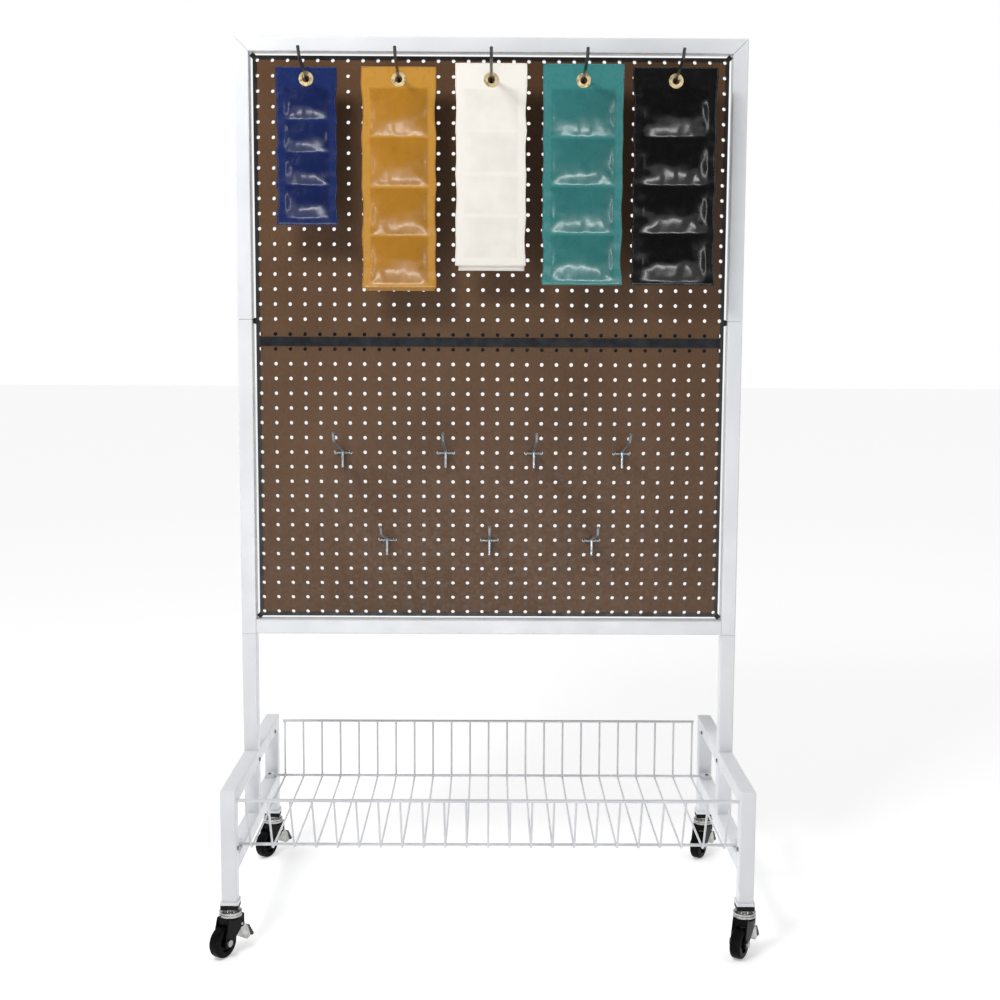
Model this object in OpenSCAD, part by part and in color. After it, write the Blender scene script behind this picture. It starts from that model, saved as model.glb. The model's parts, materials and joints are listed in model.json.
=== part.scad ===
// Rolling pegboard rack: a white square-tube frame on four braked casters holds two
// hardboard pegboards, a wire basket and double-prong hooks with hanging vinyl pouches.
// Millimetres, +Z up, origin on the floor under the middle of the rack, front face to -Y.

/* [Frame] */
// Outer side of the square steel tube
tube = 25.4; // [20:0.1:30]
// Wall of the square tube
wall = 1.5; // [1.2:0.1:2]
// Outer width of the upper frame
frame_w = 863.6; // [860:0.1:900]
// Outer height of the upper frame
frame_h = 1016; // [1010:0.5:1040]
// Height of the upper frame's underside above the floor
frame_bottom = 484.8; // [470:0.1:510]
// Height of the seam where each side post is spliced
splice_z = 1029.5; // [1020:0.5:1050]

/* [Base] */
// Front-to-back depth of the base
base_depth = 482.6; // [470:0.1:560]
// Height of the base's top bars above the floor
base_top = 274.5; // [270:0.5:290]
// Height of the lower side bars' top faces
lower_bar_top = 161.5; // [155:0.5:165]
// Height of the open lower ends of the legs
leg_bottom = 89.5; // [88:0.5:93]

/* [Pegboards] */
// Spacing of the peg holes
pitch = 25.4; // [25:0.1:25.4]
// Radius of a peg hole
hole_r = 3.2; // [3:0.05:3.3]
// Number of hole columns
hole_cols = 32; // [32:1:32]
// Number of hole rows in each pegboard
hole_rows = 19; // [19:1:19]
// Thickness of the hardboard
board_t = 6.35; // [6:0.05:6.5]
// Width of the black edging's flanges
edging_flange = 5.5; // [4:0.1:5.8]

/* [Basket] */
// Number of bent cross wires
cross_wires = 23; // [15:2:23]
// Spacing of the cross wires
wire_pitch = 35.6; // [30:0.1:35.8]
// Radius of a cross wire
cross_r = 1.8; // [1.5:0.1:1.9]
// Radius of a long wire
long_r = 2.5; // [2.3:0.1:2.6]

/* [Hooks] */
// Radius of the hook's rod and stem
rod_r = 2.6; // [2.2:0.1:2.7]
// Radius of the hook's cross bar and prongs
prong_r = 2.2; // [1.8:0.1:2.4]

/* [Pouches] */
// Thickness of a filled pocket
pocket_t = 24; // [16:1:26]
// Width of the blue pouch
blue_w = 99; // [80:1:102]
// Width of the gold pouch
gold_w = 122; // [100:1:124]
// Width of the cream pouch
cream_w = 116; // [100:1:118]
// Width of the teal pouch
teal_w = 132; // [110:1:136]
// Width of the black pouch
black_w = 138; // [110:1:140]

/* [Casters] */
// Wheel radius
wheel_r = 25.4; // [24:0.2:26]
// Wheel tread width
wheel_w = 18; // [14:0.5:19]
// Distance from the swivel axis back to the wheel's axle
trail = 20; // [18:0.5:22]
// Direction in which the wheels trail, about +Z from +X
trail_angle = 240; // [0:1:359]

/* [Hidden] */
$fn = 48;
gap = 0.05;                      // between wires that lie against each other
wire_sides = 10;
half_w = frame_w / 2;
half_d = base_depth / 2;
frame_top = frame_bottom + frame_h;
post_x = half_w - tube / 2;
leg_y = half_d - tube / 2;
in_x = half_w - tube;            // inner faces of the side tubes
in_y = half_d - tube;
seam_z = frame_bottom + frame_h / 2;
seam = 0.8;                      // shadow gap where two tubes meet end to end

// Pegboards
grid_w = (hole_cols - 1) * pitch;
board_w = grid_w + pitch / 2;
boards_h = (2 * hole_rows - 1) * pitch + pitch / 2;
board_bottom = seam_z - boards_h / 2;
board_top = seam_z + boards_h / 2;
web_t = 2;
joiner_t = 1.2;
joiner_front = 15.2;
joiner_back = 38;
edging_t = 1;
corner_cut = 6;
side_bumper_r = 6;
side_bumper_z = splice_z - 2;
corner_bumper_r = 4.2;

// Basket, as points in the Y-Z plane
long_z = lower_bar_top + long_r + gap;
floor_wire_z = long_z - long_r - cross_r - gap;
bend = 8;
back_y = 212;
back_top_z = lower_bar_top + 107.5;
back_wire_y = back_y - bend - 0.5;
front_foot_y = -184;
front_wire_y = front_foot_y + bend - 1;
lip = [-232, lower_bar_top + 95];
lip_r = 3;
clip_h = 7.5;
clip_l = 20;
clip_w = 16;
screw_r = 1.9;

// Hooks: [x, row] in steps of one hole from the middle and from the lowest row
pouch_hook_row = 35;
pouch_hook_x = [-304.8, -152.4, 0, 152.4, 304.8];
free_hooks_at = [[-254, 11], [-76.2, 11], [76.2, 11], [228.6, 11], [-177.8, 5], [0, 5], [177.8, 5]];
cross_bar_y = -(board_t / 2 + prong_r + gap);
hook_y = cross_bar_y - prong_r - rod_r - gap;
knee_z = 4;
reach = [0, -145, 30];
tip = [0, -158, 43];
stem_drop = 25;
hook_bend = 3;
prong_bend = 3;
prong_back_y = 8;
prong_up = 14;

// Pouches: [width, height above the eye, pocket height, tail]
pouch_y = -57;
header_t = 3;
grommet_r = 6;
grommet_flange = 12;
eye_play = 0.9;
seam_below_eye = 12;
seam_t = 4;
pouches = [
    [blue_w, 18.5, 53.3, 11],
    [gold_w, 19.5, 81.5, 6.5],
    [cream_w, 26, 72, 10.5],
    [teal_w, 26, 78.5, 6.5],
    [black_w, 21.5, 78.5, 6.5]
];

// Casters
fit = 0.06;                      // radial running clearance
plate_t = 5;
plate_side = 30;
collar_h = 8;
collar_side = 29;
collar_bottom = leg_bottom - plate_t - collar_h;
race_top = collar_bottom - 5;
fork_top = race_top - 8;
king_r = 5;
axle_r = 3;
pin_r = 2;
cheek_in = 11;
cheek_t = 2;
race_r = 18.5;
race_disc = 3.2;                 // the upper race is two discs with a groove between them
race_groove = 1;
shade_t = 2;                     // drop plate of the crown over the wheel
shade_gap = 1.5;
crown_t = 3;
pedal_x = -13;
pedal_z = fork_top - 17;
// Side outline of the foot lever, from its pin: top of the arm, down the back, up the front
pedal_outline = [[2, -3.4], [0, 4], [-5, 3], [-18, -12], [-24, -29], [-15, -32], [-4, -18]];
casters = [[-1, -1], [1, -1], [-1, 1], [1, 1]];

// ---- shapes used by several parts ----

module round_square(side, r) {
    square([side - 2 * r, side], center = true);
    square([side, side - 2 * r], center = true);
    for (sx = [-1, 1], sy = [-1, 1])
        translate([sx * (side / 2 - r), sy * (side / 2 - r)]) circle(r = r);
}

// Hollow square tube that stands on the X-Y plane
module square_tube(length) {
    linear_extrude(length) difference() {
        round_square(tube, 2.4);
        round_square(tube - 2 * wall, 0.9);
    }
}

// Tube from z0 up to z1 at a place on the floor plan
module upright(x, y, z0, z1) {
    translate([x, y, z0]) square_tube(z1 - z0);
}

// Tube along X between -half and half, centred on height z
module cross_tube(half, z) {
    translate([-half, 0, z]) rotate([0, 90, 0]) square_tube(2 * half);
}

// Tube along Y between -half and half, centred on x and z
module depth_tube(half, x, z) {
    translate([x, half, z]) rotate([90, 0, 0]) square_tube(2 * half);
}

// Everything inside an outline drawn on the X-Z plane
module within_xz(points) {
    rotate([90, 0, 0]) linear_extrude(2000, center = true) polygon(points);
}

// Everything inside an outline drawn on the Y-Z plane
module within_yz(points) {
    rotate([90, 0, 90]) linear_extrude(2000, center = true) polygon(points);
}

function heading(a, b) = (b - a) / norm(b - a);

// Points of a polyline with each inner corner rounded off over a length `size` of both sides
function rounded(points, size, steps = 3) =
    let (last = len(points) - 1)
    concat(
        [points[0]],
        [for (i = [1 : last - 1], k = [0 : steps])
            let (
                t = k / steps,
                before = points[i] - size * heading(points[i - 1], points[i]),
                after = points[i] + size * heading(points[i], points[i + 1])
            )
            (1 - t) * (1 - t) * before + 2 * t * (1 - t) * points[i] + t * t * after],
        [points[last]]
    );

// Direction of a polyline at point i, halfway between its two sides there
function direction(points, i) =
    let (last = len(points) - 1)
    i == 0 ? heading(points[0], points[1]) :
    i == last ? heading(points[last - 1], points[last]) :
    let (both = heading(points[i - 1], points[i]) + heading(points[i], points[i + 1]))
    both / norm(both);

// The part of u that is square to d, at length 1
function squared(u, d) = let (rest = u - (u * d) * d) rest / norm(rest);

// Round wire through a list of points, as one closed sweep
module bent_wire(points, r) {
    count = len(points);
    across = [for (i = 0, u = squared([1, 2, 3], direction(points, 0)); i < count;
        i = i + 1, u = i < count ? squared(u, direction(points, i)) : u) u];
    rings = [for (i = [0 : count - 1])
        let (d = direction(points, i), v = cross(d, across[i]))
            for (k = [0 : wire_sides - 1])
                let (a = 360 * k / wire_sides)
                    points[i] + r * (cos(a) * across[i] + sin(a) * v)];
    sides = [for (i = [0 : count - 2], k = [0 : wire_sides - 1])
        let (
            a = i * wire_sides + k,
            b = i * wire_sides + (k + 1) % wire_sides,
            c = a + wire_sides,
            d = b + wire_sides
        ) each [[a, c, b], [b, c, d]]];
    start = [for (k = [0 : wire_sides - 1]) k];
    end = [for (k = [wire_sides - 1 : -1 : 0]) (count - 1) * wire_sides + k];
    polyhedron(rings, concat([start], sides, [end]));
}

// Puts a shape drawn on the X-Y plane onto the Y-Z plane at x
module on_yz(x) {
    translate([x, 0, 0]) rotate([90, 0, 90]) children();
}

// Height of a row of holes, counted from the lowest
function row_z(row) = board_bottom + pitch / 4 + row * pitch;

// ---- upper frame ----

module side_post(side, z0, z1) {
    upright(side * post_x, 0, z0, z1);
}

module upper_post(side) {
    color("white") intersection() {
        side_post(side, splice_z + seam, frame_top);
        within_xz([
            [side * half_w, splice_z], [side * in_x, splice_z],
            [side * in_x, frame_top - tube - seam], [side * half_w, frame_top - seam]
        ]);
    }
}

module lower_post(side) {
    color("white") side_post(side, frame_bottom, splice_z);
}

module riser(side) {
    color("white") side_post(side, base_top, frame_bottom - seam);
}

module top_rail() {
    color("white") intersection() {
        cross_tube(half_w, frame_top - tube / 2);
        within_xz([
            [-half_w, frame_top], [half_w, frame_top],
            [in_x, frame_top - tube], [-in_x, frame_top - tube]
        ]);
    }
}

module bottom_rail() {
    color("white") cross_tube(in_x, frame_bottom + tube / 2);
}

// Square plugs inside the posts at the two seams of each side
module tube_splices() {
    plug = tube - 2 * wall - 0.2;
    half_l = 35;
    color("silver")
        for (side = [-1, 1], z = [splice_z, frame_bottom])
            translate([side * post_x, 0, z - half_l])
                linear_extrude(2 * half_l) round_square(plug, 1.5);
}

// ---- base ----

module top_bar(side) {
    color("white") intersection() {
        depth_tube(half_d, side * post_x, base_top - tube / 2);
        within_yz([
            [-half_d, base_top], [half_d, base_top],
            [in_y, base_top - tube], [-in_y, base_top - tube]
        ]);
    }
}

module leg(side, end) {
    color("white") intersection() {
        upright(side * post_x, end * leg_y, leg_bottom, base_top);
        within_yz([
            [end * half_d, leg_bottom], [end * in_y, leg_bottom],
            [end * in_y, base_top - tube], [end * half_d, base_top]
        ]);
    }
}

module lower_bar(side) {
    color("white") difference() {
        depth_tube(in_y, side * post_x, lower_bar_top - tube / 2);
        for (y = clip_screw_ys())
            translate([side * post_x, y, lower_bar_top - 2 * wall])
                cylinder(r = screw_r, h = 3 * wall);
    }
}

module strut(side) {
    color("white") upright(side * post_x, 0, lower_bar_top, base_top - tube);
}

// Flanged plugs in the leg ends, bored for the caster stems
module leg_end_plugs() {
    plug = tube - 2 * wall - 0.2;
    color("white")
        for (c = casters)
            translate([c[0] * post_x, c[1] * leg_y, 0]) difference() {
                union() {
                    translate([0, 0, leg_bottom - plate_t])
                        linear_extrude(plate_t) round_square(plate_side, 1.5);
                    translate([0, 0, leg_bottom])
                        linear_extrude(28) round_square(plug, 1);
                }
                translate([0, 0, leg_bottom - plate_t - 1]) cylinder(r = king_r, h = 40);
            }
}

// Button-head screws on the inner faces of the base
module frame_screws() {
    head_r = 4;
    color("dimgray")
        for (side = [-1, 1], at = [[182, base_top - 19], [0, base_top - 19], [-leg_y, base_top - 99]])
            translate([side * in_x, at[0], at[1]]) rotate([0, -side * 90, 0])
                cylinder(r1 = head_r, r2 = head_r - 1.2, h = 2.2);
}

// ---- pegboards ----

// Peg holes of the rows first..last, on the X-Z plane
module peg_holes(first, last) {
    for (col = [0 : hole_cols - 1], row = [first : last])
        translate([col * pitch - grid_w / 2, row_z(row)]) circle(r = hole_r, $fn = 24);
}

// Diamond that trims one corner of the boards and their edging for a bumper
module corner_trim(sx, sz) {
    edge_x = board_w / 2 + edging_t;
    edge_z = boards_h / 2 + edging_t;
    cut = corner_cut * sqrt(2);
    translate([sx * edge_x, seam_z + sz * edge_z]) rotate(45) square(cut, center = true);
}

module corner_trims() {
    for (sx = [-1, 1], sz = [-1, 1]) corner_trim(sx, sz);
}

module pegboard(z0, z1, first) {
    color("saddlebrown")
        rotate([90, 0, 0]) linear_extrude(board_t, center = true) difference() {
            translate([-board_w / 2, z0]) square([board_w, z1 - z0]);
            peg_holes(first, first + hole_rows - 1);
            corner_trims();
        }
}

module upper_pegboard() {
    pegboard(seam_z + web_t / 2, board_top, hole_rows);
}

module lower_pegboard() {
    pegboard(board_bottom, seam_z - web_t / 2, 0);
}

// Peg holes of the outermost columns and rows
module edge_holes() {
    last_col = hole_cols - 1;
    last_row = 2 * hole_rows - 1;
    for (col = [0, last_col], row = [0 : last_row])
        translate([col * pitch - grid_w / 2, row_z(row)]) circle(r = hole_r, $fn = 24);
    for (col = [1 : last_col - 1], row = [0, last_row])
        translate([col * pitch - grid_w / 2, row_z(row)]) circle(r = hole_r, $fn = 24);
}

// Flat frame round the boards, from an outer line to a line inside their edges
module edge_frame(outside, inside) {
    translate([0, seam_z]) difference() {
        square([board_w + 2 * outside, boards_h + 2 * outside], center = true);
        square([board_w - 2 * inside, boards_h - 2 * inside], center = true);
    }
}

// U-shaped edging: two flanges and the rim that joins them
module panel_edging() {
    color("black") rotate([90, 0, 0]) {
        linear_extrude(board_t, center = true) difference() {
            edge_frame(edging_t, 0);
            corner_trims();
        }
        for (s = [-1, 1])
            translate([0, 0, s * (board_t + edging_t) / 2])
                linear_extrude(edging_t, center = true) difference() {
                    edge_frame(edging_t, edging_flange);
                    edge_holes();
                    corner_trims();
                }
    }
}

// H-shaped strip between the boards, with a deeper flange at the back
module panel_joiner() {
    length = board_w - 2 * edging_flange - 0.1;
    color("black") {
        translate([0, -(board_t + joiner_t) / 2, seam_z])
            cube([length, joiner_t, joiner_front], center = true);
        translate([0, 0, seam_z]) cube([length, board_t, web_t], center = true);
        translate([0, (board_t + joiner_t) / 2, seam_z])
            cube([length, joiner_t, joiner_back], center = true);
    }
}

// Rubber bumpers that wedge the boards inside the frame
module panel_bumpers() {
    edge_x = board_w / 2 + edging_t;
    edge_z = boards_h / 2 + edging_t;
    side_l = in_x - edge_x;
    corner_l = (in_x - edge_x) * sqrt(2) + corner_cut / sqrt(2) - corner_bumper_r;
    color("black") {
        for (side = [-1, 1])
            translate([side * edge_x, 0, side_bumper_z]) rotate([0, side * 90, 0])
                cylinder(r1 = side_bumper_r, r2 = side_bumper_r - 2, h = side_l);
        for (sx = [-1, 1], sz = [-1, 1])
            translate([sx * (edge_x - corner_cut / 2), 0, seam_z + sz * (edge_z - corner_cut / 2)])
                rotate([0, sx * (sz > 0 ? 45 : 135), 0])
                    cylinder(r = corner_bumper_r, h = corner_l);
    }
}

// ---- basket ----

function clip_screw_ys() = [back_wire_y - 10, front_wire_y + 10];

module basket_cross_wires() {
    foot = [0, front_foot_y, floor_wire_z];
    lip_point = [0, lip[0], lip[1]];
    path = rounded([
        [0, back_y, back_top_z - long_r - gap],
        [0, back_y, floor_wire_z],
        foot,
        lip_point - (lip_r + gap) * heading(foot, lip_point)
    ], bend, 4);
    color("white")
        for (i = [0 : cross_wires - 1])
            translate([(i - (cross_wires - 1) / 2) * wire_pitch, 0, 0]) bent_wire(path, cross_r);
}

// Wire along X between -half and half
module long_wire(half, y, z, r) {
    translate([0, y, z]) rotate([0, 90, 0]) cylinder(r = r, h = 2 * half, center = true);
}

module basket_long_wires() {
    color("white") {
        long_wire(half_w - 9, back_wire_y, long_z, long_r);
        long_wire(half_w - 9, front_wire_y, long_z, long_r);
        long_wire(in_x - 1.4, lip[0], lip[1], lip_r);
        long_wire((cross_wires - 1) / 2 * wire_pitch + 3, back_y, back_top_z, long_r);
    }
}

// Saddle clips that hold the long wires down on the lower side bars
module basket_clips() {
    color("whitesmoke")
        for (side = [-1, 1], wire = [0, 1]) {
            wire_y = wire == 0 ? back_wire_y : front_wire_y;
            screw_y = clip_screw_ys()[wire];
            translate([side * post_x, 0, lower_bar_top]) difference() {
                translate([-clip_w / 2, (wire_y + screw_y - clip_l) / 2, 0])
                    cube([clip_w, clip_l, clip_h]);
                translate([0, wire_y, long_z - lower_bar_top]) rotate([0, 90, 0])
                    cylinder(r = long_r + gap, h = clip_w + 2, center = true);
                translate([0, wire_y, 0])
                    cube([clip_w + 2, 2 * (long_r + gap), 2 * long_r], center = true);
                translate([0, screw_y, -1]) cylinder(r = screw_r + 0.1, h = clip_h + 2);
            }
        }
}

module basket_clip_screws() {
    color("silver")
        for (side = [-1, 1], y = clip_screw_ys())
            translate([side * post_x, y, lower_bar_top]) {
                translate([0, 0, -8]) cylinder(r = screw_r - gap, h = clip_h + 8);
                translate([0, 0, clip_h]) cylinder(r1 = 3.6, r2 = 2.4, h = 2.2);
            }
}

// ---- hooks ----

// Double-prong hook at (x, z): a bar with prongs through two holes, and the stem and
// rising rod that are welded to its front
module peg_hook(x, z) {
    half = pitch / 2;
    translate([x, 0, z]) {
        bent_wire(rounded([
            [-half, prong_back_y, prong_up], [-half, prong_back_y, 0],
            [-half, cross_bar_y, 0], [half, cross_bar_y, 0],
            [half, prong_back_y, 0], [half, prong_back_y, prong_up]
        ], prong_bend, 2), prong_r);
        bent_wire(rounded([
            [0, hook_y, -stem_drop], [0, hook_y, knee_z], reach, tip
        ], hook_bend, 2), rod_r);
    }
}

module pouch_hooks() {
    color("dimgray") for (x = pouch_hook_x) peg_hook(x, row_z(pouch_hook_row));
}

module free_hooks() {
    color("silver") for (at = free_hooks_at) peg_hook(at[0], row_z(at[1]));
}

// ---- pouches ----

// Height of a hook rod's centre line where a pouch hangs on it
function rod_z() =
    row_z(pouch_hook_row) + knee_z
    + (reach[2] - knee_z) * (pouch_y - hook_y) / (reach[1] - hook_y);

function eye_z() = rod_z() - (grommet_r - rod_r - eye_play);

// One filled pocket: two arcs over the chord between its seams
module pocket_outline(z_top, height) {
    bulge = pocket_t / 2;
    arc_r = (height * height / 4 + bulge * bulge) / (2 * bulge);
    intersection() {
        translate([pouch_y + arc_r - bulge, z_top - height / 2]) circle(r = arc_r, $fn = 96);
        translate([pouch_y - arc_r + bulge, z_top - height / 2]) circle(r = arc_r, $fn = 96);
    }
}

// Pouch on hook i: a flat header with an eye, then four filled pockets between seams
module pouch(i) {
    width = pouches[i][0];
    top_z = eye_z() + pouches[i][1];
    pocket_h = pouches[i][2];
    seam_z0 = eye_z() - seam_below_eye;
    bottom_z = seam_z0 - 4 * pocket_h - pouches[i][3];
    difference() {
        on_yz(pouch_hook_x[i] - width / 2) linear_extrude(width) {
            translate([pouch_y - header_t / 2, seam_z0]) square([header_t, top_z - seam_z0]);
            translate([pouch_y - seam_t / 2, bottom_z]) square([seam_t, seam_z0 - bottom_z]);
            for (k = [0 : 3]) pocket_outline(seam_z0 - k * pocket_h, pocket_h);
        }
        translate([pouch_hook_x[i], pouch_y, eye_z()]) rotate([90, 0, 0])
            cylinder(r = grommet_r + 1.2, h = 30, center = true);
    }
}

// Pressed brass eye: a barrel with a rolled flange on both faces of the header
module grommet(i) {
    half = header_t / 2;
    flange_t = 0.9;
    color("gold")
        translate([pouch_hook_x[i], pouch_y, eye_z()]) rotate([90, 0, 0])
            rotate_extrude() {
                translate([grommet_r, -half - flange_t]) square([1.1, header_t + 2 * flange_t]);
                for (s = [-1, 1])
                    translate([grommet_r, s > 0 ? half : -half - flange_t])
                        square([grommet_flange - grommet_r, flange_t]);
            }
}

// ---- casters ----

// Puts its children at caster c, turned to the way the wheels trail
module at_caster(c) {
    translate([casters[c][0] * post_x, casters[c][1] * leg_y, 0])
        rotate([0, 0, trail_angle]) children();
}

module caster_collars() {
    color("black")
        for (c = casters)
            translate([c[0] * post_x, c[1] * leg_y, collar_bottom]) difference() {
                linear_extrude(collar_h) round_square(collar_side, 2);
                translate([0, 0, -1]) cylinder(r = king_r, h = collar_h + 2);
            }
}

// Stem, upper race and king pin, fixed to the leg
module caster_stems() {
    color("silver")
        for (c = casters)
            translate([c[0] * post_x, c[1] * leg_y, 0]) {
                translate([0, 0, fork_top - 8]) cylinder(r = king_r, h = leg_bottom + 32 - fork_top);
                translate([0, 0, race_top]) cylinder(r = 11, h = collar_bottom - race_top);
                for (top = [race_top, race_top - race_disc - race_groove])
                    translate([0, 0, top - race_disc]) cylinder(r = race_r, h = race_disc);
                translate([0, 0, race_top - race_disc - race_groove])
                    cylinder(r = race_r - 2, h = race_groove);
                translate([0, 0, fork_top - 8]) cylinder(r = 7.5, h = 4.7);
            }
}

// Swivelling fork: crown, drop plate and two cheeks bored for the axle and the pedal's pins
module fork() {
    shade_z = 2 * wheel_r + shade_gap;
    color("dimgray") difference() {
        union() {
            translate([0, 0, fork_top - crown_t]) cylinder(r = race_r, h = crown_t);
            translate([-race_r, -cheek_in - cheek_t, fork_top - crown_t])
                cube([2 * race_r, 2 * (cheek_in + cheek_t), crown_t]);
            translate([race_r - shade_t, -cheek_in - cheek_t, shade_z])
                cube([shade_t, 2 * (cheek_in + cheek_t), fork_top - shade_z - 1]);
            for (side = [-1, 1])
                translate([0, side * (cheek_in + cheek_t / 2), 0]) rotate([90, 0, 0])
                    linear_extrude(cheek_t, center = true) {
                        polygon([
                            [-race_r, fork_top], [race_r, fork_top],
                            [trail + 9, wheel_r + 2], [trail - 8, wheel_r - 4],
                            [pedal_x + 2, pedal_z - 5], [-race_r, pedal_z]
                        ]);
                        translate([trail, wheel_r]) circle(r = 9);
                        translate([pedal_x, pedal_z]) circle(r = 5);
                    }
        }
        translate([0, 0, fork_top - crown_t - 1]) cylinder(r = king_r + fit, h = 10);
        translate([trail, 0, wheel_r]) rotate([90, 0, 0])
            cylinder(r = axle_r + fit, h = 60, center = true);
        translate([pedal_x, 0, pedal_z]) rotate([90, 0, 0])
            cylinder(r = pin_r + fit, h = 60, center = true);
    }
}

module axle() {
    head = cheek_in + cheek_t;
    color("silver") translate([trail, 0, wheel_r]) rotate([90, 0, 0]) {
        cylinder(r = axle_r, h = 2 * head + 2, center = true);
        for (s = [-1, 1])
            translate([0, 0, s * (head + 1.8)]) cylinder(r = 5.5, h = 3, center = true);
    }
}

// Solid moulded wheel with a crowned tread, a dished side and a boss round its bore
module wheel() {
    hub_half = cheek_in - 0.4;
    edge = 4;
    color("black") translate([trail, 0, wheel_r]) rotate([90, 0, 0])
        rotate_extrude($fn = 96) difference() {
            union() {
                translate([wheel_r - 10, -wheel_w / 2 + edge]) square([10, wheel_w - 2 * edge]);
                translate([wheel_r - 10, -wheel_w / 2]) square([10 - edge, wheel_w]);
                for (s = [-1, 1])
                    translate([wheel_r - edge, s * (wheel_w / 2 - edge)]) circle(r = edge);
                translate([8, -5]) square([wheel_r - 16, 10]);
                translate([axle_r + fit, -hub_half]) square([6, 2 * hub_half]);
            }
            translate([-20, -50]) square([20, 100]);
        }
}

// Brake pedal: a deep folded foot lever on two pins, on the side away from the wheel
module brake_pedal() {
    half = cheek_in - 0.5;
    color("silver") {
        translate([pedal_x, 0, pedal_z]) rotate([90, 0, 0]) {
            cylinder(r = pin_r, h = 2 * (cheek_in + cheek_t), center = true);
            cylinder(r = 4, h = 2 * half, center = true);
        }
        translate([pedal_x, 0, pedal_z]) rotate([90, 0, 0])
            linear_extrude(2 * half, center = true) polygon(pedal_outline);
    }
}

// ---- drawing ----

top_rail();
bottom_rail();
upper_post(-1);  // upper_left_post
upper_post(1);  // upper_right_post
lower_post(-1);  // lower_left_post
lower_post(1);  // lower_right_post
riser(-1);  // left_riser
riser(1);  // right_riser
tube_splices();
top_bar(-1);  // left_top_bar
top_bar(1);  // right_top_bar
lower_bar(-1);  // left_lower_bar
lower_bar(1);  // right_lower_bar
leg(-1, -1);  // left_front_leg
leg(1, -1);  // right_front_leg
leg(-1, 1);  // left_rear_leg
leg(1, 1);  // right_rear_leg
strut(-1);  // left_strut
strut(1);  // right_strut
leg_end_plugs();
frame_screws();
upper_pegboard();
lower_pegboard();
panel_edging();
panel_joiner();
panel_bumpers();
basket_cross_wires();
basket_long_wires();
basket_clips();
basket_clip_screws();
pouch_hooks();
free_hooks();
color("midnightblue") pouch(0);  // blue_pouch
color("goldenrod") pouch(1);  // gold_pouch
color("ivory") pouch(2);  // cream_pouch
color("teal") pouch(3);  // teal_pouch
color("black") pouch(4);  // black_pouch
grommet(0);  // blue_grommet
grommet(1);  // gold_grommet
grommet(2);  // cream_grommet
grommet(3);  // teal_grommet
grommet(4);  // black_grommet
caster_collars();
caster_stems();
at_caster(0) fork();  // front_left_fork
at_caster(1) fork();  // front_right_fork
at_caster(2) fork();  // rear_left_fork
at_caster(3) fork();  // rear_right_fork
at_caster(0) axle();  // front_left_axle
at_caster(1) axle();  // front_right_axle
at_caster(2) axle();  // rear_left_axle
at_caster(3) axle();  // rear_right_axle
at_caster(0) wheel();  // front_left_wheel
at_caster(1) wheel();  // front_right_wheel
at_caster(2) wheel();  // rear_left_wheel
at_caster(3) wheel();  // rear_right_wheel
at_caster(0) brake_pedal();  // front_left_pedal
at_caster(1) brake_pedal();  // front_right_pedal
at_caster(2) brake_pedal();  // rear_left_pedal
at_caster(3) brake_pedal();  // rear_right_pedal
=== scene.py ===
import bmesh
import bpy
import json
import math
import random
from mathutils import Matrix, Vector, noise


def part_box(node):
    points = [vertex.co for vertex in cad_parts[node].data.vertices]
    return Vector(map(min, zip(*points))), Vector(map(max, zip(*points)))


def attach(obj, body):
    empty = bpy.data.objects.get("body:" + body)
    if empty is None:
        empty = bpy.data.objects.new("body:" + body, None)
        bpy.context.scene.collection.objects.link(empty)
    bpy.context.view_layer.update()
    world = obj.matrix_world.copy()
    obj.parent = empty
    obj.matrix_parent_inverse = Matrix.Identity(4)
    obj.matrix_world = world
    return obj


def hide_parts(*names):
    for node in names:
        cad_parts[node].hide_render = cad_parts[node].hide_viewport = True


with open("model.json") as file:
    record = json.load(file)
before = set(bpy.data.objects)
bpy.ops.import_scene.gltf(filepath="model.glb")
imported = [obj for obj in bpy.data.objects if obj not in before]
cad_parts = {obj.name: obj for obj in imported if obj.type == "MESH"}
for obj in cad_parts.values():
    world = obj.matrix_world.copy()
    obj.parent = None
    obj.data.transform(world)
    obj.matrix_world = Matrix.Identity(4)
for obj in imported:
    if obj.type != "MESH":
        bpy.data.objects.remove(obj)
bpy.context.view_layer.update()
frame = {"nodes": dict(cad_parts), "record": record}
nodes = frame["nodes"]
random.seed(7)


# ---- materials ----

def new_material(name, color, rough, metal=0.0, coat=0.0, shine=0.5):
    """Principled material with its uniform values set on the sockets."""
    m = bpy.data.materials.new(name)
    m.use_nodes = True
    s = m.node_tree.nodes["Principled BSDF"]
    s.inputs["Base Color"].default_value = (*color, 1)
    s.inputs["Roughness"].default_value = rough
    s.inputs["Metallic"].default_value = metal
    s.inputs["Coat Weight"].default_value = coat
    s.inputs["Coat Roughness"].default_value = 0.12
    s.inputs["Specular IOR Level"].default_value = shine
    return m, m.node_tree, s


def add(tree, kind, **values):
    n = tree.nodes.new(kind)
    for k, v in values.items():
        if hasattr(n, k):
            setattr(n, k, v)
        else:
            n.inputs[k.replace("_", " ")].default_value = v
    return n


def coords(tree, stretch=(1, 1, 1)):
    c = add(tree, "ShaderNodeTexCoord")
    m = add(tree, "ShaderNodeMapping")
    m.inputs["Scale"].default_value = stretch
    tree.links.new(c.outputs["Object"], m.inputs["Vector"])
    return m.outputs["Vector"]


def noise_at(tree, scale, detail=4, stretch=(1, 1, 1), rough=0.5):
    n = add(tree, "ShaderNodeTexNoise", Scale=scale, Detail=detail, Roughness=rough)
    tree.links.new(coords(tree, stretch), n.inputs["Vector"])
    return n.outputs["Fac"]


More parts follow.
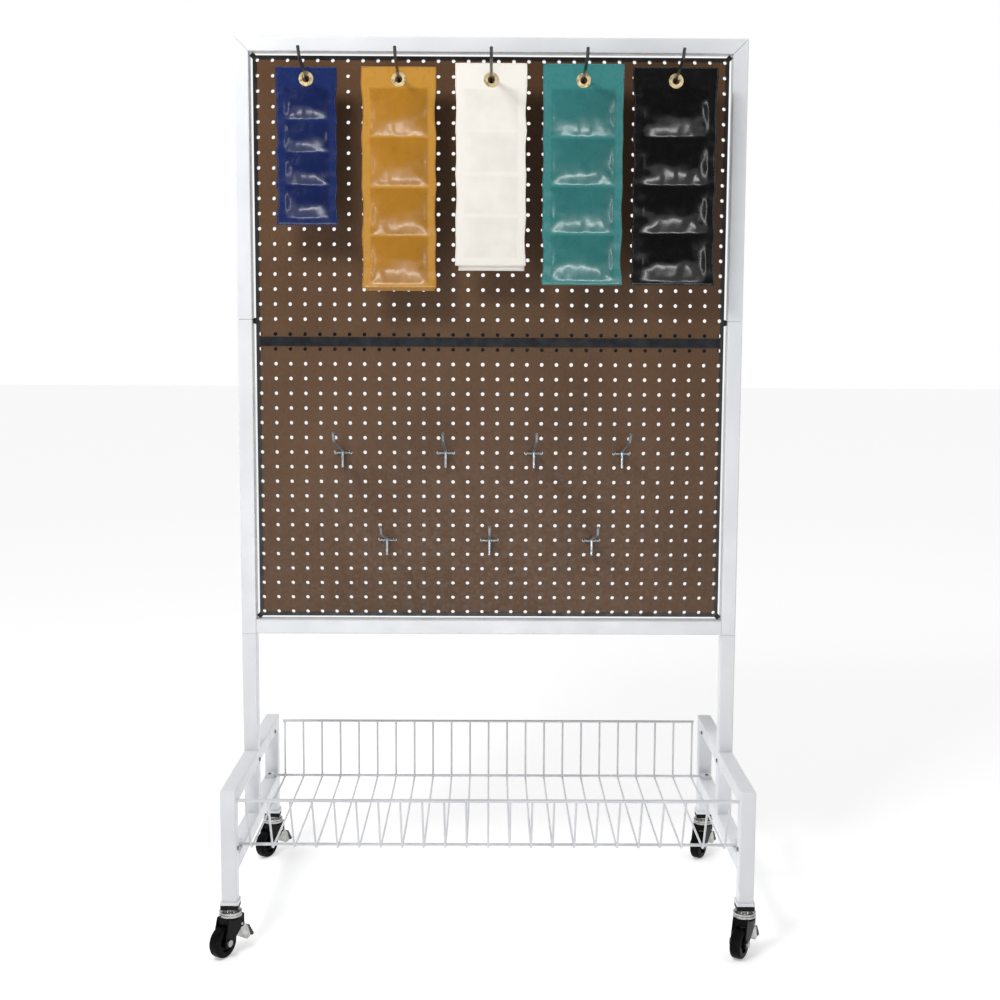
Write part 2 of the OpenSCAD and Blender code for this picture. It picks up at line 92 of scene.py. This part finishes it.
def ramp(tree, fac, low, high, a=0.35, b=0.65):
    """Maps a 0..1 value to a blend between two colours or grey levels."""
    r = add(tree, "ShaderNodeValToRGB")
    low = (low, low, low) if isinstance(low, (int, float)) else low
    high = (high, high, high) if isinstance(high, (int, float)) else high
    r.color_ramp.elements[0].position, r.color_ramp.elements[1].position = a, b
    r.color_ramp.elements[0].color = (*low, 1)
    r.color_ramp.elements[1].color = (*high, 1)
    tree.links.new(fac, r.inputs["Fac"])
    return r.outputs["Color"]


def mix(tree, fac, a, b):
    n = add(tree, "ShaderNodeMix", data_type="RGBA")
    tree.links.new(fac, n.inputs["Factor"])
    for value, socket in ((a, n.inputs[6]), (b, n.inputs[7])):
        if isinstance(value, tuple):
            socket.default_value = (*value, 1)
        else:
            tree.links.new(value, socket)
    return n.outputs[2]


def bump(tree, shader, height, strength, distance=0.001):
    n = add(tree, "ShaderNodeBump", Strength=strength, Distance=distance)
    tree.links.new(height, n.inputs["Height"])
    tree.links.new(n.outputs["Normal"], shader.inputs["Normal"])


def powder_coat(name, color, dark, shine=0.5):
    """Sprayed powder coat: faint orange peel, cloudy gloss and a trace of grime."""
    m, t, s = new_material(name, color, 0.34, shine=shine)
    t.links.new(ramp(t, noise_at(t, 9, 3), dark, color, 0.3, 0.6), s.inputs["Base Color"])
    t.links.new(ramp(t, noise_at(t, 30, 3), 0.28, 0.42), s.inputs["Roughness"])
    bump(t, s, noise_at(t, 700, 2), 0.14, 0.0004)
    return m


def hardboard(name):
    """Pressed brown fibre board: fine mottled fibres, broad tone changes and a waxy sheen."""
    m, t, s = new_material(name, (0.13, 0.07, 0.042), 0.42, shine=0.14)
    fine = ramp(t, noise_at(t, 420, 6, (1, 1, 0.6), 0.7), (0.084, 0.042, 0.02), (0.15, 0.08, 0.042), 0.3, 0.7)
    broad = ramp(t, noise_at(t, 5, 3), (0.08, 0.041, 0.02), (0.148, 0.082, 0.045), 0.3, 0.72)
    half = add(t, "ShaderNodeMix", data_type="RGBA")
    half.inputs["Factor"].default_value = 0.5
    t.links.new(fine, half.inputs[6])
    t.links.new(broad, half.inputs[7])
    t.links.new(half.outputs[2], s.inputs["Base Color"])
    t.links.new(ramp(t, noise_at(t, 160, 5), 0.36, 0.52), s.inputs["Roughness"])
    bump(t, s, noise_at(t, 900, 5, (1, 1, 0.5), 0.65), 0.25, 0.0003)
    return m


def plastic(name, color, rough, grain=1200, depth=0.12, shine=0.3):
    m, t, s = new_material(name, color, rough, shine=shine)
    light = tuple(min(1, c * 1.5 + 0.002) for c in color)
    t.links.new(ramp(t, noise_at(t, 40, 4), color, light, 0.4, 0.7), s.inputs["Base Color"])
    t.links.new(ramp(t, noise_at(t, 60, 4), rough * 0.85, rough * 1.2), s.inputs["Roughness"])
    bump(t, s, noise_at(t, grain, 3), depth, 0.0003)
    return m


def metal(name, color, rough, brush=(1, 1, 1), depth=0.08, tarnish=0.75):
    """Plated or drawn metal: uneven gloss, fine draw lines and slight tarnish."""
    m, t, s = new_material(name, color, rough, metal=1.0)
    dull = tuple(c * tarnish for c in color)
    t.links.new(ramp(t, noise_at(t, 55, 5), dull, color, 0.35, 0.6), s.inputs["Base Color"])
    t.links.new(ramp(t, noise_at(t, 260, 4, brush), rough * 0.7, min(1, rough * 1.6)), s.inputs["Roughness"])
    bump(t, s, noise_at(t, 900, 4, brush), depth, 0.0002)
    return m


def vinyl(name, color, edge, rough, coat, shine=0.4):
    """Coated fabric: pebbled grain, paler welds from the 'weld' attribute, scuffed gloss."""
    m, t, s = new_material(name, color, rough, coat=coat, shine=shine)
    weld = add(t, "ShaderNodeAttribute", attribute_name="weld")
    shade = tuple(c * 0.9 for c in color)
    body = ramp(t, noise_at(t, 22, 4), shade, color, 0.3, 0.65)
    t.links.new(mix(t, weld.outputs["Fac"], body, edge), s.inputs["Base Color"])
    t.links.new(ramp(t, noise_at(t, 70, 5), rough * 0.8, min(1, rough * 1.35)), s.inputs["Roughness"])
    grain = add(t, "ShaderNodeTexVoronoi", Scale=1100)
    t.links.new(coords(t), grain.inputs["Vector"])
    waves = noise_at(t, 16, 2, (1, 1, 0.8), 0.4)
    total = add(t, "ShaderNodeMath", operation="MULTIPLY_ADD")
    t.links.new(grain.outputs["Distance"], total.inputs[0])
    total.inputs[1].default_value = 0.02
    t.links.new(waves, total.inputs[2])
    bump(t, s, total.outputs[0], 0.3, 0.0025)
    return m


WHITE = powder_coat("white_coat", (0.8, 0.815, 0.84), (0.74, 0.757, 0.785))
# the basket wires get a darker copy of the frame's white coat; the difference is painted shade, so the thin
# wires read grey against the white
WIRE_COAT_PAINTED_SHADE = powder_coat("wire_coat_painted_shade", (0.74, 0.75, 0.775), (0.62, 0.635, 0.665))
BOARD = hardboard("hardboard")
# black strip along the board edges, pierced by the peg holes: partly a real edging trim, partly painted shade
# standing in for the shadow along the board edges
EDGING_AND_EDGE_SHADE = plastic("edging", (0.012, 0.011, 0.011), 0.45)
JOINER = plastic("joiner", (0.008, 0.009, 0.012), 0.24, 900, 0.05)
RUBBER = plastic("bumper_rubber", (0.016, 0.014, 0.013), 0.6, 1500, 0.2)
TYRE = plastic("wheel_rubber", (0.002, 0.002, 0.0025), 0.4, 800, 0.1, 0.06)
BLACK = powder_coat("fork_coat", (0.003, 0.003, 0.0035), (0.0015, 0.0015, 0.002), 0.08)
COLLAR = plastic("collar", (0.003, 0.003, 0.003), 0.5, shine=0.12)
PAD = plastic("pedal_pad", (0.006, 0.014, 0.015), 0.34, 700, 0.3)
ZINC = metal("zinc", (0.34, 0.365, 0.39), 0.36)
DARK = metal("dark_zinc", (0.085, 0.085, 0.09), 0.34)
SCREW = metal("screw_steel", (0.2, 0.2, 0.21), 0.4)
CHROME = metal("chrome", (0.5, 0.5, 0.485), 0.2, (1, 1, 0.2), 0.06, 0.6)
STEEL = metal("axle_steel", (0.42, 0.42, 0.43), 0.35, (1, 1, 0.2))
BRASS = metal("brass", (0.95, 0.78, 0.46), 0.42, (1, 1, 1), 0.04, 0.86)

by_name = {
    "upper_pegboard": BOARD, "lower_pegboard": BOARD, "panel_edging": EDGING_AND_EDGE_SHADE,
    "panel_joiner": JOINER, "panel_bumpers": RUBBER, "tube_splices": STEEL,
    "frame_screws": SCREW, "basket_clip_screws": SCREW, "pouch_hooks": DARK,
    "free_hooks": ZINC, "caster_collars": COLLAR, "caster_stems": CHROME,
    "basket_cross_wires": WIRE_COAT_PAINTED_SHADE, "basket_long_wires": WIRE_COAT_PAINTED_SHADE, "basket_clips": WIRE_COAT_PAINTED_SHADE,
}
by_ending = {"_grommet": BRASS, "_fork": BLACK, "_axle": STEEL, "_wheel": TYRE, "_pedal": CHROME}


def material_for(name):
    if name in by_name:
        return by_name[name]
    for ending, m in by_ending.items():
        if name.endswith(ending):
            return m
    return WHITE


for name, obj in nodes.items():
    obj.data.materials.clear()
    obj.data.materials.append(material_for(name))


def finish_piece(obj, mat, body):
    """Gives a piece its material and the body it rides."""
    obj.data.materials.clear()
    obj.data.materials.append(mat)
    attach(obj, body)


def link(name, bm):
    mesh = bpy.data.meshes.new(name)
    bm.to_mesh(mesh)
    bm.free()
    obj = bpy.data.objects.new(name, mesh)
    bpy.context.scene.collection.objects.link(obj)
    return obj


# ---- pouches ----

CELL = 0.0036           # spacing of the corners of a sheet
BORDER = 0.0118         # flat welded edge at each side
WELD_HALF = 0.0013      # half the width of a welded seam
EYE_HOLE = 0.0082       # radius left open for the brass eye
LAYER_HALF = 0.0011     # half the distance between the two layers
LAYER_SHIFT = 0.0002    # how far the cuff sits in front of its eye's middle
SIDE_PULL = 0.0028      # the most that a filled pocket pulls its side in
EDGE_WANDER = 0.0008    # how far a cut edge strays from straight
RUFFLE = 0.0011         # how far the sheets stray from flat
RUFFLE_START = 0.01     # how far below the first seam that begins


def sheet_pair(name, width, z_top, seams, z_bottom, x0, y0, eye, seed):
    """Two vinyl layers, not yet filled; the 'weld' attribute marks where they are joined."""
    nx = max(8, round(width / CELL))
    nz = max(8, round((z_top - z_bottom) / CELL))
    rnd = random.Random(seed)
    pulls = [(rnd.uniform(0.4, 1.0), rnd.uniform(0.4, 1.0)) for _ in seams]
    wave = Vector((seed * 3.1, seed * 1.7, 0))

    def place(i, k):
        """Where corner i, k of the sheets lies, as x and z."""
        z = z_top + (z_bottom - z_top) * k / nz
        side = 2 * i / nx - 1
        pull = 0
        for n in range(len(seams) - 1):
            if seams[n + 1] < z < seams[n]:
                t = (seams[n] - z) / (seams[n] - seams[n + 1])
                pull = SIDE_PULL * pulls[n][0 if side < 0 else 1] * math.sin(math.pi * t)
        x = x0 + side * (width / 2 - pull * abs(side))
        x += EDGE_WANDER * noise.noise(Vector((side, z * 40, 0)) + wave)
        return x, z

    def welded(x_side, z):
        if x_side > width / 2 - BORDER or z > seams[0] - WELD_HALF or z < seams[-1] + WELD_HALF:
            return True
        return any(abs(z - s) < WELD_HALF + CELL * 0.35 for s in seams)

    # rows snap to the seams so that every weld is straight
    grid = [[place(i, k) for k in range(nz + 1)] for i in range(nx + 1)]
    for s in seams:
        k = min(range(nz + 1), key=lambda n: abs(grid[0][n][1] - s))
        for i in range(nx + 1):
            grid[i][k] = (grid[i][k][0], s)

    def hole(i, k):
        x = sum(grid[a][b][0] for a in (i, i + 1) for b in (k, k + 1)) / 4
        z = sum(grid[a][b][1] for a in (i, i + 1) for b in (k, k + 1)) / 4
        return (Vector((x, z)) - Vector((eye.x, eye.z))).length < EYE_HOLE

    bm = bmesh.new()
    weld = bm.verts.layers.float.new("weld")
    layers = ({}, {})
    kept = {(i, k) for i in range(nx) for k in range(nz) if not hole(i, k)}
    for i in range(nx + 1):
        for k in range(nz + 1):
            if not any((i - a, k - b) in kept for a in (0, 1) for b in (0, 1)):
                continue
            x, z = grid[i][k]
            side = abs(2 * i / nx - 1) * width / 2
            near = Vector((x, z)) - Vector((eye.x, eye.z))
            cut = not all((i - a, k - b) in kept for a in (0, 1) for b in (0, 1))
            if cut and near.length < 2 * EYE_HOLE:
                near = near.normalized() * EYE_HOLE
                x, z = eye.x + near.x, eye.z + near.y
            flat = welded(side, z)
            ruffle = 0
            if z < seams[0] - RUFFLE_START:
                ruffle = RUFFLE * noise.noise(Vector((x * 30, z * 55, 0)) + wave)
            for layer, offset in enumerate((-LAYER_HALF, LAYER_HALF)):
                v = bm.verts.new((x, y0 + ruffle + offset, z))
                v[weld] = 1.0 if flat else 0.0
                layers[layer][i, k] = v
    a, b = layers
    for i, k in kept:
        bm.faces.new((a[i, k], a[i, k + 1], a[i + 1, k + 1], a[i + 1, k]))
        bm.faces.new((b[i, k], b[i + 1, k], b[i + 1, k + 1], b[i, k + 1]))
        for di, dk, p, q in ((-1, 0, (0, 0), (0, 1)), (1, 0, (1, 1), (1, 0)),
                             (0, -1, (1, 0), (0, 0)), (0, 1, (0, 1), (1, 1))):
            if (i + di, k + dk) not in kept:
                p1, q1 = (i + p[0], k + p[1]), (i + q[0], k + q[1])
                bm.faces.new((a[p1], b[p1], b[q1], a[q1]))
    bmesh.ops.recalc_face_normals(bm, faces=bm.faces)
    return link(name, bm)


def weld_values(mesh):
    return [d.value for d in mesh.attributes["weld"].data]


def inflate(obj, pressure, slack, stiff, frames=22):
    """Fills the sheets by cloth simulation and keeps the result as plain mesh."""
    pins = obj.vertex_groups.new(name="pins")
    for i, w in enumerate(weld_values(obj.data)):
        if w > 0.5:
            pins.add([i], 1.0, "ADD")
    mod = obj.modifiers.new("fill", "CLOTH")
    c = mod.settings
    c.vertex_group_mass = "pins"
    c.quality = 6
    c.mass = 0.12
    c.tension_stiffness = c.compression_stiffness = 22
    c.shear_stiffness = 8
    c.bending_stiffness = stiff
    c.use_pressure = True
    c.uniform_pressure_force = pressure
    c.shrink_min = -slack
    c.effector_weights.gravity = 0
    mod.collision_settings.use_collision = False
    mod.point_cache.frame_start, mod.point_cache.frame_end = 1, frames
    for n in range(1, frames + 1):
        bpy.context.scene.frame_set(n)
    dg = bpy.context.evaluated_depsgraph_get()
    settled = [v.co.copy() for v in obj.evaluated_get(dg).to_mesh().vertices]
    obj.modifiers.remove(mod)
    bpy.context.scene.frame_set(1)
    return settled


POCKETS = 4
SEAM_BELOW_EYE = 0.012
PLEATS = 5
PLEAT_DEPTH = 0.16      # as a share of how full the pocket is there
DRAW_IN = 0.07          # how far a pocket's sides pull in at its middle, as a share of its half width
SIMULATED_SHARE = 0.35  # share of the thickness that comes from the cloth simulation
SIMULATED_DRAG = 0.6    # share of its movement across and along that is kept
FILLED = 0.88           # how much of the room in front of or behind the eye a full pocket takes
ROOM_LIMIT = 0.96       # and the most that any point may take


def pocket_height(x, z, x0, width, seams, seed):
    """0 at the welds to 1 in the middle of a pocket, fuller low down, pleated near its seams."""
    for n in range(len(seams) - 1):
        if seams[n + 1] < z < seams[n]:
            t = (seams[n] - z) / (seams[n] - seams[n + 1])
            half = (width / 2 - BORDER) * (1 - DRAW_IN * math.sin(math.pi * t))
            u = (x - x0) / half
            across = max(0, 1 - abs(u) ** 3.0) ** 0.7
            along = math.sin(math.pi * t ** 1.25) ** 0.85
            near_seam = 1 - math.sin(math.pi * t)
            pleat = math.sin(PLEATS * math.pi * u + seed * 1.3 + n * 2.1) * near_seam * PLEAT_DEPTH
            dent = 0.1 * noise.noise(Vector((u * 1.3 + seed, t * 1.6 + n * 3.7, 0)))
            return max(0, across * along * (1 + pleat + dent))
    return 0


def make_pouch(color_name, width, tail, mat, fill, seed, flap):
    """Vinyl cuff of four filled pockets, with its flat back layer."""
    lo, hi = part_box(color_name + "_pouch")
    g_lo, g_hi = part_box(color_name + "_grommet")
    eye = (g_lo + g_hi) / 2
    x0, y0 = (lo.x + hi.x) / 2, eye.y
    depth = (hi.y - lo.y) / 2
    first = eye.z - SEAM_BELOW_EYE
    bottom = lo.z + flap
    pocket = (first - (bottom + tail)) / POCKETS
    seams = [first - n * pocket for n in range(POCKETS + 1)]
    obj = sheet_pair(color_name + "_cuff", width, hi.z, seams, bottom, x0, y0 - LAYER_SHIFT, eye, seed)
    mesh = obj.data
    base = [v.co.copy() for v in mesh.vertices]
    cap = depth * ROOM_LIMIT
    moved = inflate(obj, pressure=4.0 + 2 * fill, slack=0.012, stiff=6.0)
    share = SIMULATED_SHARE
    for v, p, q in zip(mesh.vertices, base, moved):
        puff = pocket_height(p.x, p.z, x0, width, seams, seed) * depth * FILLED * fill
        puff *= -1 if p.y < y0 else 1
        out = (1 - share) * puff + share * (q.y - p.y) * fill
        out = max(-cap, min(cap, out))
        v.co = Vector((p.x + (q.x - p.x) * SIMULATED_DRAG, p.y + out, p.z + (q.z - p.z) * SIMULATED_DRAG))
    sub = obj.modifiers.new("smooth", "SUBSURF")
    sub.levels = sub.render_levels = 1
    for poly in mesh.polygons:
        poly.use_smooth = True
    make_rolled_edge(color_name, obj, eye, mat)
    finish_piece(obj, mat, color_name + "_hanging_pouch")
    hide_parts(color_name + "_pouch")
    if flap > 0:
        make_flap(color_name, width, seams[1], lo.z, x0 + 0.0015, y0 + depth * 0.62, mat, seed)


def outer_rim(obj, eye):
    """Points in order round the cuff's outer edge, halfway between its two layers."""
    hole = Vector((eye.x, eye.z))
    bm = bmesh.new()
    bm.from_mesh(obj.data)
    left = []
    for e in bm.edges:
        a, b = (v.co.copy() for v in e.verts)
        joins_layers = abs(a.y - b.y) > 0.0012 and (a.xz - b.xz).length < 1e-4
        if joins_layers and (a.xz - hole).length > 1.5 * EYE_HOLE:
            left.append((a + b) / 2)
    bm.free()
    path = [left.pop(0)]
    while left:
        nearest = min(left, key=lambda p: (p - path[-1]).length)
        left.remove(nearest)
        path.append(nearest)
    return path


ROLL_R = 0.0013
FLAP_HALF = 0.0008      # half the thickness of a back layer
FLAP_INSET = 0.003      # how much narrower it is at each side
FLAP_LEAN = 0.004       # how far it leans forward towards its bottom


def make_rolled_edge(color_name, cuff, eye, mat):
    """Heat-rolled bead round the cuff, which catches the light along its edges."""
    path = outer_rim(cuff, eye)
    curve = bpy.data.curves.new(color_name + "_rolled_edge", "CURVE")
    curve.dimensions = "3D"
    curve.bevel_depth = ROLL_R
    curve.bevel_resolution = 2
    spline = curve.splines.new("POLY")
    spline.points.add(len(path) - 1)
    for point, at in zip(spline.points, path):
        point.co = (*at, 1)
    spline.use_cyclic_u = True
    obj = bpy.data.objects.new(color_name + "_rolled_edge", curve)
    bpy.context.scene.collection.objects.link(obj)
    finish_piece(obj, mat, color_name + "_hanging_pouch")


def make_flap(color_name, width, z_top, z_bottom, x0, y, mat, seed):
    """Flat second layer that hangs behind the cuff and shows below it."""
    bm = bmesh.new()
    weld = bm.verts.layers.float.new("weld")
    nx, nz = 14, 30
    rows = []
    for k in range(nz + 1):
        t = k / nz
        z = z_top + (z_bottom - z_top) * t
        depth_here = y - FLAP_LEAN * t
        row = []
        for i in range(nx + 1):
            side = 2 * i / nx - 1
            bow = 0.0012 * noise.noise(Vector((side * 1.5, z * 25, seed)))
            x = x0 + side * (width / 2 - FLAP_INSET)
            row.append([bm.verts.new((x, depth_here + bow + s, z)) for s in (-FLAP_HALF, FLAP_HALF)])
            for v in row[-1]:
                v[weld] = 0.5 if abs(side) > 0.88 or t > 0.97 else 0.1
        rows.append(row)
    for k in range(nz):
        for i in range(nx):
            for s in (0, 1):
                quad = [rows[k][i][s], rows[k + 1][i][s], rows[k + 1][i + 1][s], rows[k][i + 1][s]]
                bm.faces.new(quad if s == 0 else quad[::-1])
    for k in range(nz):
        for i in (0, nx):
            bm.faces.new((rows[k][i][0], rows[k][i][1], rows[k + 1][i][1], rows[k + 1][i][0]))
    for i in range(nx):
        for k in (0, nz):
            bm.faces.new((rows[k][i][0], rows[k][i + 1][0], rows[k][i + 1][1], rows[k][i][1]))
    bmesh.ops.recalc_face_normals(bm, faces=bm.faces)
    obj = link(color_name + "_back_layer", bm)
    for poly in obj.data.polygons:
        poly.use_smooth = True
    finish_piece(obj, mat, color_name + "_hanging_pouch")


BLUE = vinyl("blue_vinyl", (0.0075, 0.0155, 0.078), (0.0105, 0.0215, 0.102), 0.24, 0.15, 0.35)
GOLD = vinyl("gold_vinyl", (0.4, 0.178, 0.017), (0.5, 0.245, 0.036), 0.3, 0.15)
CREAM = vinyl("cream_vinyl", (0.83, 0.795, 0.725), (0.84, 0.805, 0.74), 0.5, 0.0)
TEAL = vinyl("teal_vinyl", (0.03, 0.165, 0.162), (0.042, 0.215, 0.21), 0.28, 0.2)
INK = vinyl("black_vinyl", (0.0035, 0.0035, 0.0037), (0.005, 0.005, 0.0055), 0.22, 0.15, 0.3)

# name, width, tail, material, fill, seed, how far the back layer hangs below the cuff
for spec in (
    ("blue", 0.099, 0.011, BLUE, 0.9, 1, 0.0),
    ("gold", 0.122, 0.0065, GOLD, 0.95, 2, 0.005),
    ("cream", 0.116, 0.0105, CREAM, 0.2, 3, 0.009),
    ("teal", 0.132, 0.0065, TEAL, 0.95, 4, 0.0),
    ("black", 0.138, 0.0065, INK, 1.0, 5, 0.0),
):
    make_pouch(*spec)


# ---- casters ----

joints = {j["name"]: j for j in frame["record"]["behaviour"]["joints"]}
PAD_HALF = 0.0112       # half the width of a brake pad
PLATE_HALF = 0.0098     # half the width of a drop plate
RIBS = 4
RIB_DEPTH = 0.0011


def extrude_outline(name, outline, half, to_world):
    """Prism over an outline in the caster's own plane, with a small bevel."""
    bm = bmesh.new()
    sides = [[bm.verts.new(to_world(x, s * half, z)) for x, z in outline] for s in (-1, 1)]
    bm.faces.new(sides[0])
    bm.faces.new(sides[1][::-1])
    for i in range(len(outline)):
        j = (i + 1) % len(outline)
        bm.faces.new((sides[0][i], sides[1][i], sides[1][j], sides[0][j]))
    bmesh.ops.recalc_face_normals(bm, faces=bm.faces)
    obj = link(name, bm)
    bevel = obj.modifiers.new("edges", "BEVEL")
    bevel.width, bevel.segments = 0.0005, 2
    return obj


def dress_caster(corner):
    """Chrome drop plate on the fork and ribbed rubber pad on the foot lever."""
    swivel = Vector(joints[corner + "_caster_swivel"]["pos_m"])
    axle = Vector(joints[corner + "_wheel_spin"]["pos_m"])
    pin = Vector(joints[corner + "_brake_tilt"]["pos_m"])
    ahead = Vector((axle.x - swivel.x, axle.y - swivel.y, 0)).normalized()
    across = Vector((-ahead.y, ahead.x, 0))

    def from_pin(x, y, z):
        return pin + ahead * x + across * y + Vector((0, 0, z))

    plate = [(-0.0058, 0.016), (-0.0068, 0.0155), (-0.0076, 0.0065), (-0.0066, 0.0062)]
    obj = extrude_outline(corner + "_drop_plate", plate, PLATE_HALF, from_pin)
    finish_piece(obj, CHROME, corner + "_swivel")

    # the pad lies on the lever's outer face, with ribs across its own outer side
    top, foot = Vector((-0.0195, -0.0085)), Vector((-0.0312, -0.0275))
    outer = []
    for n in range(2 * RIBS + 1):
        at = top.lerp(foot, n / (2 * RIBS))
        outer.append((at.x - (RIB_DEPTH if n % 2 else 0), at.y))
    pad = [(-0.0146, -0.0079)] + outer + [(-0.0300, -0.0297), (-0.0244, -0.0289), (-0.0184, -0.0119)]
    obj = extrude_outline(corner + "_brake_pad", pad, PAD_HALF, from_pin)
    finish_piece(obj, PAD, corner + "_brake")


for corner in ("front_left", "front_right", "rear_left", "rear_right"):
    dress_caster(corner)


# ---- floor, light and camera ----

bm = bmesh.new()
bmesh.ops.create_grid(bm, x_segments=1, y_segments=1, size=30)
floor = link("floor", bm)
pale, tree, shader = new_material("pale_floor", (0.95, 0.95, 0.95), 0.95)
shader.inputs["Specular IOR Level"].default_value = 0.1
shader.inputs["Emission Color"].default_value = (1, 1, 1, 1)
shader.inputs["Emission Strength"].default_value = 0.37
floor.data.materials.append(pale)

FRONT_DARK = 0.08     # how bright the room is on the viewer's side
ROOM_BRIGHT = 0.76    # and to the sides, above and behind

world = bpy.data.worlds.new("studio")
bpy.context.scene.world = world
world.use_nodes = True
wt = world.node_tree
heading = add(wt, "ShaderNodeSeparateXYZ")
wt.links.new(add(wt, "ShaderNodeTexCoord").outputs["Generated"], heading.inputs[0])
turn = add(wt, "ShaderNodeMapRange")
for socket, value in (("From Min", -0.75), ("From Max", -0.1),
                      ("To Min", FRONT_DARK), ("To Max", ROOM_BRIGHT)):
    turn.inputs[socket].default_value = value
wt.links.new(heading.outputs["Y"], turn.inputs["Value"])
seen = add(wt, "ShaderNodeMath", operation="MAXIMUM")
wt.links.new(turn.outputs["Result"], seen.inputs[0])
wt.links.new(add(wt, "ShaderNodeLightPath").outputs["Is Camera Ray"], seen.inputs[1])
backdrop = wt.nodes["Background"]
backdrop.inputs["Color"].default_value = (1, 1, 1, 1)
wt.links.new(seen.outputs[0], backdrop.inputs["Strength"])


def area_light(name, place, target, size, power, size_y=None, diffuse=True, glossy=True):
    data = bpy.data.lights.new(name, "AREA")
    data.shape = "RECTANGLE"
    data.size, data.size_y = size, size_y or size
    data.energy = power
    obj = bpy.data.objects.new(name, data)
    obj.location = place
    obj.rotation_euler = (Vector(target) - Vector(place)).to_track_quat("-Z", "Y").to_euler()
    obj.visible_diffuse, obj.visible_glossy = diffuse, glossy
    bpy.context.scene.collection.objects.link(obj)


area_light("key", (-1.0, -1.7, 2.6), (0, 0, 1.0), 0.6, 23, glossy=False)
area_light("top_key", (-0.95, -1.05, 2.25), (0, 0, 1.5), 0.35, 9, glossy=False)
area_light("right_strip", (1.7, -1.5, 1.3), (0, 0, 1.2), 0.16, 10, 1.5, diffuse=False)
area_light("left_strip", (-1.9, -1.7, 1.2), (0, 0, 1.2), 0.16, 9, 1.5, diffuse=False)
area_light("low_strip", (0, -2.2, 0.3), (0, 0, 1.3), 1.5, 26, 0.34, diffuse=False)

camera = bpy.data.cameras.new("camera")
camera.sensor_width = 36
camera.lens = 51.4
view = bpy.data.objects.new("camera", camera)
view.location = (0.0003, -2.4709, 0.9917)
view.rotation_euler = [math.radians(a) for a in (83.728, -0.279, -0.384)]
bpy.context.scene.collection.objects.link(view)
bpy.context.scene.camera = view
bpy.context.scene.view_settings.view_transform = "Standard"
